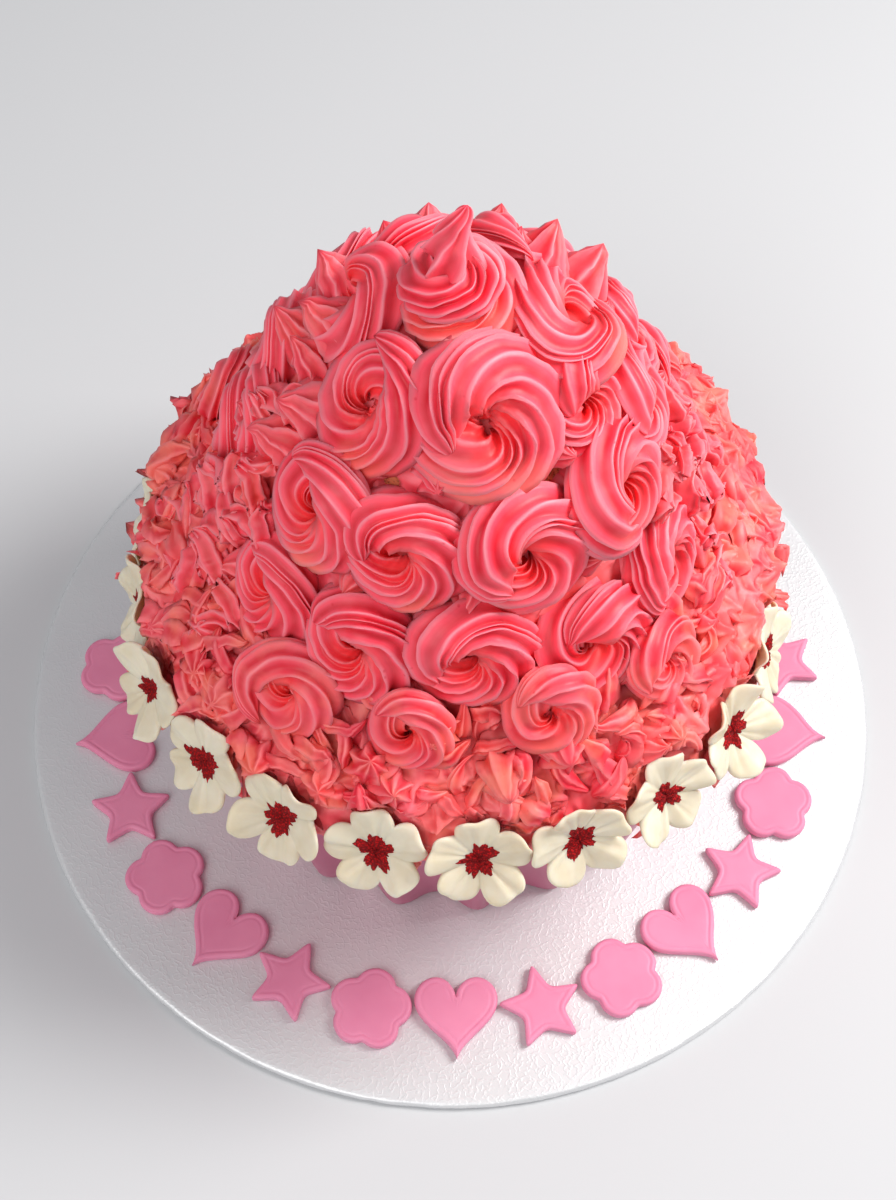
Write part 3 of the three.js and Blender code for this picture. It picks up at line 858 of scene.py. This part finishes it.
def starField(surface, look, rng):
    # At each point the tallest of the stars: a star is a cone whose flanks are cut by the angle
    # round its tip, into sharp ridges, round lobes or between, twisted, and leaning as it rises
    foot, axes, _ = domePlaces(*starSeeds(look, rng))
    count = len(foot)
    tall = rng.uniform(*look["tall"], count) * mm
    wide = look["spacing"] * rng.uniform(0.75, 1.15, count)
    teeth = rng.integers(5, 8, count)
    turn = rng.uniform(0, fullTurn, count)
    twist = rng.uniform(-0.6, 1.9, count)
    lean = rng.normal(0, 2.6 * mm, (count, 2))
    lobed = rng.uniform(*look["round"], count)
    heights, crests, shifts = [], [], []
    for part in np.array_split(surface.reshape(-1, 3), 16):
        gap = part[:, None] - foot[None]
        x = np.einsum("pki,ki->pk", gap, axes[:, 0])
        y = np.einsum("pki,ki->pk", gap, axes[:, 1])
        away = np.sqrt((gap**2).sum(-1)) / wide
        half = (np.arctan2(y, x) + turn + twist * away) * teeth / 2
        crest = (1 - lobed) * (1 - np.abs(np.sin(half))) + lobed * np.abs(np.cos(half)) ** 0.8
        crest = 1 - (1 - crest) * smoothStep(away * 5)
        cone = tall * (np.clip(1 - away**1.4, 0, 1) ** 0.8 * 0.72 + 0.28 * np.clip(1 - away * 2.2, 0, 1))
        cone = cone * (0.4 + 0.6 * crest)
        best = cone.argmax(1)
        here = np.arange(len(part))
        heights.append(cone[here, best])
        crests.append(crest[here, best])
        rise = (cone[here, best] / tall[best]) ** 2
        shifts.append((axes[best, 0] * lean[best, :1] + axes[best, 1] * lean[best, 1:]) * rise[:, None])
    return (
        np.concatenate(values).reshape(surface.shape[:2] + values[0].shape[1:])
        for values in (heights, crests, shifts)
    )


def softened(values, times):
    # Average with the neighbours round the cake and up the slope
    for _ in range(times):
        values = (np.roll(values, 1, 1) + 2 * values + np.roll(values, -1, 1)) / 4
        padded = np.concatenate([values[:1], values, values[-1:]])
        values = (padded[:-2] + 2 * padded[1:-1] + padded[2:]) / 4
    return values


def addPackedStars(name, look, seed):
    # Stars side by side all round: the sponge's side moved out by the field, a bank that is
    # thicker near the rim, and soft noise; lower under rosettes, and sunk in the gaps
    rng = np.random.default_rng(seed)
    first, last = (np.interp(look[key] * mm, sideCurve[:, 1], np.arange(len(sideCurve))) for key in ("low", "high"))
    index = np.linspace(first, last, look["rows"])
    radius, height, upR, upZ = (
        np.interp(index, np.arange(len(sideCurve)), values)[:, None]
        for values in (*sideCurve.T, *sideSlope.T)
    )
    around = np.arange(look["columns"])[None, :] / look["columns"] * fullTurn
    surface = np.stack([radius * np.cos(around), radius * np.sin(around), height + 0 * around], -1)
    normal = np.stack([upZ * np.cos(around), upZ * np.sin(around), -upR + 0 * around], -1)
    over, crest, shift = (softened(values, 1) for values in starField(surface, look, rng))
    slope = np.linspace(0, 1, look["rows"])[:, None]
    bank = np.interp(slope, *np.array(look["bank"]).T) * mm
    bank = bank * (1 + look["rearShare"] * smoothStep((np.cos(around - 0.7) + 0.35) * 1.3))
    offset = over + bank + softNoise(surface, 20 * mm, seed) * 0.8 * mm
    piped = np.array(topTier + middleTier + lowTier + footTier)[:, :3]
    for under, places in ((2.6 * mm, piped), (-2 * mm, np.array(look["gaps"]))):
        foot, _, _ = domePlaces(*places[:, :2].T)
        for centre, reach in zip(foot, places[:, 2] * mm):
            hole = smoothStep(1.5 - np.linalg.norm(surface - centre, axis=-1) / reach)
            offset = offset * (1 - hole) + under * hole
    points = surface + normal * offset[..., None] + shift
    for k in range(3):
        points[..., k] += softNoise(points, 6 * mm, seed + k) * 0.35 * mm
    points = behindFlowers(points)
    warm = smoothStep((softNoise(points, 45 * mm, 77) + 0.15) * 1.2)
    low = np.array([[0, 0, points[0, :, 2].mean()]])
    high = np.array([[0, 0, points[-1, :, 2].mean()]])
    values = {"ridge": crest[None], "peach": 0.2 * warm[None], "band": np.full((1,) + crest.shape, look["band"])}
    return addTubes(name, points[None], low, high, values, buttercream)


creamPieces.append(addStars("loose_stars", looseStars, bandLook, 31))
creamPieces.append(addLeaves("band_leaves", bandLook, 32))
creamPieces.append(addRuffles("side_ruffles", ruffleLook, 35))
peaks = peakPlaces(bandLook, 36)
creamPieces.append(addStars("band_peaks", peaks, bandLook, 36, bankAt(peaks[:, 1], packedBand), 1.0))
creamPieces.append(addPackedStars("band_stars", packedBand, 33))
creamPieces.append(addPackedStars("coat", packedCoat, 34))
for piece in creamPieces:
    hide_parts("buttercream")
print("band and coat piped")



def domeShell(offset, rows, columns, floor):
    # The sponge's side moved out by offset, a function of the surface points, and closed below
    index = np.linspace(0, len(sideCurve) - 1, rows)
    radius, height, upR, upZ = (
        np.interp(index, np.arange(len(sideCurve)), values)[:, None]
        for values in (*sideCurve.T, *sideSlope.T)
    )
    around = np.arange(columns)[None, :] / columns * fullTurn
    surface = np.stack([radius * np.cos(around), radius * np.sin(around), height + 0 * around], -1)
    normal = np.stack([upZ * np.cos(around), upZ * np.sin(around), -upR + 0 * around], -1)
    points = surface + normal * offset(surface)[..., None]
    foot = points[:1].copy()
    foot[..., 2] = floor
    points = np.concatenate([foot, points[:-1]])[None]
    top = points[0, -1].mean(0)
    top[2] = points[0, -1, :, 2].mean() + 0.4 * mm
    return points, np.array([[0, 0, floor]]), top[None]


# Sponge: open brown crumb, seen only in the gaps, with painted shade darkening its pores

spongeLook = {"crumb": rgb(240, 146, 104), "dark": rgb(206, 100, 70), "poreShade": rgb(150, 60, 42)}


def makeSponge(look):
    material, tree, shader, place = startMaterial("sponge")
    blotched = addGroup(tree, mottle, {
        "Place": place, "Scale": 120.0, "Amount": 0.8, "Colour": look["crumb"], "Blotch Colour": look["dark"],
    })
    cells = addNode(tree, "ShaderNodeTexVoronoi", {"Vector": place, "Scale": 1300.0})
    poreShade = remap(tree, cells.outputs["Distance"], 0.05, 0.5, 0.7, 0.0)
    # Painted shade: the crumb darkened in its pores
    colour = mixColour(tree, poreShade, blotched.outputs["Colour"], look["poreShade"])
    bump = addNode(tree, "ShaderNodeBump", {
        "Strength": 0.8, "Distance": 0.8 * mm, "Height": calc(tree, "SUBTRACT", 1.0, poreShade),
    })
    tree.links.new(colour, shader.inputs["Base Color"])
    tree.links.new(bump.outputs[0], shader.inputs["Normal"])
    shader.inputs["Roughness"].default_value = 0.9
    shader.inputs["Specular IOR Level"].default_value = 0.15
    return material


def addSponge(look):
    def offset(surface):
        return softNoise(surface, 5 * mm, 8) * 0.35 * mm
    points, start, end = domeShell(offset, 110, 260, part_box("sponge_dome")[0][2])
    piece = addTubes("sponge", points, start, end, {}, makeSponge(look))
    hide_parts("sponge_dome")


addSponge(spongeLook)
print("sponge and coat made")

# Fluted base, moulded in a pink candy coating

baseLook = {
    "flutes": 19,
    "crestAzimuth": 258.5,
    "footRadius": 81 * mm,
    "topRadius": 97 * mm,
    "depth": 3.4 * mm,
    "rows": 46,
    "perFlute": 22,
    "colour": rgb(180, 70, 112),
    "blotch": rgb(160, 54, 96),
}


def makeCandy(look):
    material, tree, shader, place = startMaterial("pink candy coating")
    blotched = addGroup(tree, mottle, {
        "Place": place, "Scale": 30.0, "Amount": 0.6, "Colour": look["colour"], "Blotch Colour": look["blotch"],
    })
    skin = addGroup(tree, grain, {
        "Place": place, "Scale": 500.0, "Strength": 0.12, "Depth": 0.2 * mm, "Pits": 1.0,
    })
    tree.links.new(blotched.outputs["Colour"], shader.inputs["Base Color"])
    tree.links.new(skin.outputs["Normal"], shader.inputs["Normal"])
    shader.inputs["Roughness"].default_value = 0.36
    shader.inputs["Subsurface Weight"].default_value = 0.12
    shader.inputs["Subsurface Radius"].default_value = (1.0, 0.5, 0.5)
    shader.inputs["Subsurface Scale"].default_value = 3 * mm
    return material


def addBase(look):
    # Radius grows from foot to rim; rounded flutes ride on it as a cosine of the azimuth
    low, high = (corner[2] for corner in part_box("fluted_base"))
    columns = look["flutes"] * look["perFlute"]
    around = np.radians(look["crestAzimuth"]) + np.arange(columns) / columns * fullTurn
    wave = np.cos(np.arange(columns) / look["perFlute"] * fullTurn)
    flute = (wave + 0.12 * wave**2)[None, :] * look["depth"]
    t = np.linspace(0, 1, look["rows"])[:, None]
    foot = 2.2 * mm * (1 - np.sqrt(1 - (1 - np.clip(t / 0.03, 0, 1)) ** 2))
    rim = 2.0 * mm * (1 - np.sqrt(1 - (1 - np.clip((1 - t) / 0.03, 0, 1)) ** 2))
    radius = look["footRadius"] + (look["topRadius"] - look["footRadius"]) * t - foot - rim + flute
    points = np.stack([radius * np.cos(around), radius * np.sin(around), low + (high - low) * t + 0 * radius], -1)
    points[..., :2] *= 1 + softNoise(points, 60 * mm, 12)[..., None] * 0.004
    piece = addTubes("cup", points[None], np.array([[0, 0, low]]), np.array([[0, 0, high]]), {}, makeCandy(look))
    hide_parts("fluted_base")


addBase(baseLook)
print("base made")

# Round board: card wrapped in embossed silver foil

boardLook = {
    "columns": 288,
    "crumpleFrom": 149.0 * mm,
    "silver": rgb(228, 229, 230),
    "shade": rgb(212, 213, 216),
    "roughness": 0.42,
}


def makeFoil(look):
    # Embossed with short worm-like strokes: where two noises cross their middle value
    material, tree, shader, place = startMaterial("embossed foil")
    strokes = noise(tree, place, 420.0, 1.5, 0.5)
    line = calc(tree, "ABSOLUTE", calc(tree, "SUBTRACT", strokes, 0.5))
    line = remap(tree, line, 0.0, 0.07, 1.0, 0.0)
    fine = noise(tree, place, 1500.0, 2.0, 0.6)
    height = calc(tree, "ADD", line, calc(tree, "MULTIPLY", fine, 0.35))
    bump = addNode(tree, "ShaderNodeBump", {"Strength": 0.2, "Distance": 0.2 * mm, "Height": height})
    blotched = addGroup(tree, mottle, {
        "Place": place, "Scale": 18.0, "Amount": 0.5, "Colour": look["silver"], "Blotch Colour": look["shade"],
    })
    rough = remap(tree, blotched.outputs["Mask"], 0.0, 1.0, look["roughness"], look["roughness"] + 0.08)
    tree.links.new(blotched.outputs["Colour"], shader.inputs["Base Color"])
    tree.links.new(bump.outputs[0], shader.inputs["Normal"])
    tree.links.new(rough, shader.inputs["Roughness"])
    shader.inputs["Metallic"].default_value = 0.5
    return material


def addBoard(look):
    # Profile from the axis out along the underside, round the rim and back along the top
    low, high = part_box("board")
    edge = high[0]
    thick = high[2] - low[2]
    turn = np.linspace(-90, 90, 13)
    rim = [(edge - 0.5 * thick + 0.5 * thick * math.cos(math.radians(a)),
            low[2] + 0.5 * thick + 0.5 * thick * math.sin(math.radians(a))) for a in turn]
    line = look["crumpleFrom"]
    top = [(edge - 2.4 * mm, high[2]), (line, high[2])]
    inner = [(r, high[2]) for r in np.linspace(line - 3 * mm, 5 * mm, 14)]
    under = [(r, low[2]) for r in np.linspace(5 * mm, edge - 3 * mm, 8)]
    profile = np.array(under + rim + top + inner)
    around = np.arange(look["columns"]) / look["columns"] * fullTurn
    r, z = profile[:, :1], profile[:, 1:]
    points = np.stack([r * np.cos(around), r * np.sin(around), z + 0 * around], -1)
    rimShare = smoothStep((r - line) / (edge - line))[..., None]
    points[..., :2] *= 1 - np.abs(softNoise(points, 9 * mm, 14))[..., None] * rimShare * 0.0016
    points[..., 2:] -= (np.abs(softNoise(points, 6 * mm, 15))[..., None] * 0.25 * mm
                        * rimShare * (z > low[2] + 1.5 * mm)[..., None])
    ends = np.array([[0, 0, low[2]]]), np.array([[0, 0, high[2]]])
    piece = addTubes("foil_board", points[None], *ends, {}, makeFoil(look))
    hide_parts("board")


addBoard(boardLook)
print("board made")

# Sugar flowers round the rim


def makeIvory(look):
    material, tree, shader, place = startMaterial("ivory sugar")
    blotched = addGroup(tree, mottle, {
        "Place": place, "Scale": 90.0, "Amount": 0.7, "Colour": look["ivory"], "Blotch Colour": look["cream"],
    })
    skin = addGroup(tree, grain, {"Place": place, "Scale": 1100.0, "Strength": 0.15, "Depth": 0.15 * mm})
    tree.links.new(blotched.outputs["Colour"], shader.inputs["Base Color"])
    tree.links.new(skin.outputs["Normal"], shader.inputs["Normal"])
    shader.inputs["Roughness"].default_value = 0.5
    shader.inputs["Subsurface Weight"].default_value = 0.5
    shader.inputs["Subsurface Radius"].default_value = (1.0, 0.75, 0.5)
    shader.inputs["Subsurface Scale"].default_value = 3 * mm
    return material


def makeRedSugar(look):
    material, tree, shader, place = startMaterial("red sugar grains")
    cells = addNode(tree, "ShaderNodeTexVoronoi", {"Vector": place, "Scale": 1300.0})
    grainMask = remap(tree, cells.outputs["Distance"], 0.1, 0.6)
    # Painted shade: the crevices between the grains, where the bump is lowest, darkened to a deeper red
    colour = mixColour(tree, grainMask, look["red"], look["creviceShadeRed"])
    bump = addNode(tree, "ShaderNodeBump", {
        "Strength": 0.7, "Distance": 0.4 * mm, "Height": calc(tree, "SUBTRACT", 1.0, grainMask),
    })
    tree.links.new(colour, shader.inputs["Base Color"])
    tree.links.new(bump.outputs[0], shader.inputs["Normal"])
    shader.inputs["Roughness"].default_value = 0.7
    shader.inputs["Specular IOR Level"].default_value = 0.25
    return material


def petalSurface(look, rng):
    # For each flower: outline radius round it and face height, at the given shares of the radius.
    # Petals bulge between narrow seams, each is tipped its own way, creases run out from the
    # middle, and the edge is ruffled.
    count, petals, columns = look["count"], look["petals"], look["columns"]
    share = np.linspace(0.04, 1, look["rows"])[None, :, None]
    around = np.arange(columns) / columns * fullTurn
    which = np.floor(around / fullTurn * petals).astype(int)
    across = (around / fullTurn * petals - which) * 2 - 1

    def each(low, high):
        return rng.uniform(low, high, (count, petals))[:, None, which]

    outline = each(0.94, 1.0) * (1 - 0.3 * np.abs(across) ** 4)
    outline *= 1 - each(0.0, 0.07) * np.exp(-(((across - each(-0.3, 0.3)) / 0.25) ** 2))
    azimuth = np.radians(look["firstAzimuth"] + np.arange(count) * 360 / count)
    flat = 1 - 0.65 * smoothStep((np.sin(azimuth) + 0.5) * 2.5)
    tip = (each(-0.02, 0.3) + each(-0.1, 0.1) * across) * flat[:, None, None]
    crease = 0
    for _ in range(3):
        crease = crease + each(0.3, 1.0) * np.exp(-(((across - each(-0.65, 0.65)) / 0.14) ** 2))
    bulge = 1 - across**2
    ruffle = np.sin(across * each(2, 5) + each(0, 6)) * (1 - across**4)
    face = 0.1 * bulge * np.sqrt(share) + tip * bulge**0.7 * share**2 + 0.05 * share**2
    face += 0.085 * ruffle * share**3 - 0.085 * crease * share * (1.3 - share)
    face -= 0.05 * (1 - share) ** 3 + 0.05 * share**16
    return share, around, outline, face


def addFlowers(look):
    rng = np.random.default_rng(41)
    middle, axes = flowerFrames(look)
    spin = rng.uniform(0, fullTurn, (look["count"], 1, 1))
    share, around, outline, face = petalSurface(look, rng)
    radius = look["radius"]
    thick = look["thickness"] * (1 - 0.5 * share**2)
    reach = radius * outline * share
    angle = around + spin
    top = np.stack([reach * np.cos(angle), reach * np.sin(angle), radius * face], -1)
    under = top[:, ::-1].copy()
    under[..., 2] -= thick[:, ::-1]
    rim = (top[:, -1:] + under[:, :1]) / 2
    rim[..., :2] *= 1.015
    under[..., :2] *= 0.98
    shell = np.concatenate([top, rim, under], 1)
    poles = np.zeros((look["count"], 2, 3))
    poles[:, 0, 2] = top[:, 0, :, 2].mean(1)
    poles[:, 1, 2] = under[:, -1, :, 2].mean(1)
    body = middle[:, None, None] + np.einsum("k...i,kij->k...j", shell, axes)
    ends = middle[:, None] + np.einsum("k...i,kij->k...j", poles, axes)
    petals = addTubes("petals", body, ends[:, 0], ends[:, 1], {}, makeIvory(look))
    return petals, addCentres(look, middle, axes, angle, outline, face, share, rng)


def addCentres(look, middle, axes, angle, outline, face, share, rng):
    # A low ragged mound of red grains on the petals, with a rough outline of its own
    count, radius, rows = look["count"], look["radius"], 11
    big = rng.uniform(0.27, 0.42, (count, 1, 1))
    ragged = np.zeros((count, 1, look["columns"]))
    for wave in (2, 3, 5, 9, 14, 21, 33):
        ragged += np.sin(wave * angle + rng.uniform(0, fullTurn, (count, 1, 1))) / wave**0.55
    edge = np.clip(big * (1 + 0.26 * ragged), 0.12, 0.6)
    level = np.linspace(0, 1, rows)[None, :, None]
    reach = edge * (1 - level)
    row = np.clip((reach - 0.04) / 0.96 * (look["rows"] - 1), 0, look["rows"] - 1.001)
    below = row.astype(int)
    part = row - below
    under = np.take_along_axis(face, below, 1) * (1 - part) + np.take_along_axis(face, below + 1, 1) * part
    rough = rng.uniform(-0.5, 1.0, (count, rows, look["columns"]))
    height = radius * under + (1.0 * np.sqrt(level) - 0.3 + 0.5 * rough * np.sqrt(level)) * mm
    flat = radius * outline * reach
    points = np.stack([flat * np.cos(angle), flat * np.sin(angle), height], -1)[:, :-1]
    poles = np.zeros((count, 2, 3))
    poles[:, 0, 2] = points[:, 0, :, 2].mean(1) - 1.2 * mm
    poles[:, 1, 2] = points[:, -1, :, 2].mean(1)
    body = middle[:, None, None] + np.einsum("k...i,kij->k...j", points, axes)
    ends = middle[:, None] + np.einsum("k...i,kij->k...j", poles, axes)
    return addTubes("flower_centres", body, ends[:, 0], ends[:, 1], {}, makeRedSugar(look))


flowerNodes = [f"flower_{i + 1:02d}" for i in range(flowerLook["count"])]
petals, centres = addFlowers(flowerLook)
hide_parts(*flowerNodes)
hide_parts(*flowerNodes)
print("flowers made")

# Pink sugar cut-outs on the board

cutOutLook = {
    "ringRadius": 123 * mm,
    "firstAzimuth": 177,
    "lastAzimuth": 367,
    "size": 14.1 * mm,
    "thickness": 3.2 * mm,
    "columns": 120,
    "kinds": ("blossom", "heart", "star"),
    "count": 15,
    "pink": rgb(230, 140, 172),
    "deep": rgb(218, 120, 156),
}


def makePinkSugar(look):
    material, tree, shader, place = startMaterial("pink sugar")
    blotched = addGroup(tree, mottle, {
        "Place": place, "Scale": 45.0, "Amount": 0.6, "Colour": look["pink"], "Blotch Colour": look["deep"],
    })
    skin = addGroup(tree, grain, {"Place": place, "Scale": 1200.0, "Strength": 0.12, "Depth": 0.12 * mm})
    tree.links.new(blotched.outputs["Colour"], shader.inputs["Base Color"])
    tree.links.new(skin.outputs["Normal"], shader.inputs["Normal"])
    shader.inputs["Roughness"].default_value = 0.55
    shader.inputs["Subsurface Weight"].default_value = 0.12
    shader.inputs["Subsurface Radius"].default_value = (1.0, 0.5, 0.5)
    shader.inputs["Subsurface Scale"].default_value = 2 * mm
    return material


def outlinePoints(kind, columns):
    # Heart: the classic sine curve; star: straight sides between tips and inner corners;
    # blossom: five cosine lobes. Each is rounded by averaging neighbours along it.
    t = np.arange(columns) / columns * fullTurn
    if kind == "heart":
        x = 16 * np.sin(-t) ** 3
        y = 13 * np.cos(t) - 5 * np.cos(2 * t) - 2 * np.cos(3 * t) - np.cos(4 * t)
        shape, rounds = np.stack([x / 16, (y + 2.5) / 14.5], 1), 2
    elif kind == "star":
        tips = np.arange(11) / 10 * fullTurn + 0.3 * math.pi
        reach = np.where(np.arange(11) % 2 == 0, 0.52, 1.08)
        at = t / fullTurn * 10
        x, y = (np.interp(at, np.arange(11), reach * f(tips)) for f in (np.cos, np.sin))
        shape, rounds = np.stack([x, y], 1), 4
    else:
        reach = 0.78 + 0.22 * np.abs(np.sin(2.5 * (t - 0.3 * math.pi))) ** 0.7
        shape, rounds = np.stack([reach * np.cos(t), reach * np.sin(t)], 1), 2
    for _ in range(rounds):
        shape = (np.roll(shape, 1, 0) + shape + np.roll(shape, -1, 0)) / 3
    return shape


def cutOutShell(kind, look):
    # Up the side at the outline, then rings shrinking to the middle; on the top the height
    # follows the distance to the outline: a rounded edge, then a fine groove beside it
    outline = outlinePoints(kind, look["columns"]) * look["size"]
    top = look["thickness"]
    rows = [np.column_stack([outline * scale, np.full(len(outline), z * top)])
            for scale, z in ((0.97, 0.0), (0.992, 0.1), (1.0, 0.28), (1.0, 0.6))]
    for scale in (0.995, 0.98, 0.96, 0.93, 0.9, 0.87, 0.84, 0.81, 0.78, 0.75, 0.7, 0.62, 0.5, 0.35, 0.15):
        ring = outline * scale
        away = np.linalg.norm(ring[:, None] - outline[None], axis=-1).min(1) / mm
        z = 0.6 + 0.4 * np.sqrt(1 - (1 - np.clip(away / 1.3, 0, 1)) ** 2) - 0.07 * np.exp(-(((away - 2.1) / 0.3) ** 2))
        rows.append(np.column_stack([ring, z * top]))
    return np.stack(rows)


def addCutOuts(look):
    rng = np.random.default_rng(51)
    material = makePinkSugar(look)
    azimuths = np.radians(np.linspace(look["firstAzimuth"], look["lastAzimuth"], look["count"]))
    shells, nodes = [], []
    for i, azimuth in enumerate(azimuths):
        kind = look["kinds"][i % len(look["kinds"])]
        nodes.append(f"sugar_{kind}_{i + 1:02d}")
        shell = cutOutShell(kind, look)
        turn = azimuth + math.pi / 2
        turned = shell.copy()
        turned[..., 0] = shell[..., 0] * math.cos(turn) - shell[..., 1] * math.sin(turn)
        turned[..., 1] = shell[..., 0] * math.sin(turn) + shell[..., 1] * math.cos(turn)
        turned[..., 0] += look["ringRadius"] * math.cos(azimuth)
        turned[..., 1] += look["ringRadius"] * math.sin(azimuth)
        turned[..., 2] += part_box(nodes[-1])[0][2]
        shells.append(turned)
    points = np.stack(shells)
    points[..., :2] += softNoise(points, 22 * mm, 52)[..., None] * 0.25 * mm
    start = points[:, 0].mean(1)
    end = points[:, -1].mean(1)
    piece = addTubes("cut_outs", points, start, end, {}, material)
    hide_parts(*nodes)


addCutOuts(cutOutLook)
print("cut-outs made")

# Pale floor, soft light from the right and above, and a pale room

stageLook = {
    "floor": rgb(200, 201, 203),
    "floorHalf": 3.0,
    "room": (0.86, 0.88, 0.92, 1.0),
    "roomStrength": 0.39,
    "lights": [
        # position, aim, size, power, colour
        ((0.75, 0.15, 0.85), (0, 0, 0.12), 0.5, 14.4, (1.0, 0.98, 0.96)),
        ((-0.5, -0.7, 0.9), (0, 0, 0.12), 0.9, 7.3, (1.0, 0.98, 0.97)),
    ],
}


def addStage(look):
    half = look["floorHalf"]
    mesh = bpy.data.meshes.new("floor")
    mesh.from_pydata([(-half, -half, 0), (half, -half, 0), (half, half, 0), (-half, half, 0)], [], [(0, 1, 2, 3)])
    floor = bpy.data.objects.new("floor", mesh)
    bpy.context.scene.collection.objects.link(floor)
    material, tree, shader, place = startMaterial("floor")
    shader.inputs["Base Color"].default_value = look["floor"]
    shader.inputs["Roughness"].default_value = 0.8
    mesh.materials.append(material)
    world = bpy.data.worlds.new("room")
    world.use_nodes = True
    background = world.node_tree.nodes["Background"]
    background.inputs["Color"].default_value = look["room"]
    background.inputs["Strength"].default_value = look["roomStrength"]
    bpy.context.scene.world = world
    for position, aim, size, power, colour in look["lights"]:
        data = bpy.data.lights.new("lamp", "AREA")
        data.size = size
        data.energy = power
        data.color = colour
        lamp = bpy.data.objects.new("lamp", data)
        lamp.location = position
        lamp.rotation_mode = "QUATERNION"
        lamp.rotation_quaternion = (Vector(aim) - Vector(position)).to_track_quat("-Z", "Y")
        bpy.context.scene.collection.objects.link(lamp)
    bpy.context.scene.view_settings.view_transform = "Standard"


addStage(stageLook)
print("stage set")
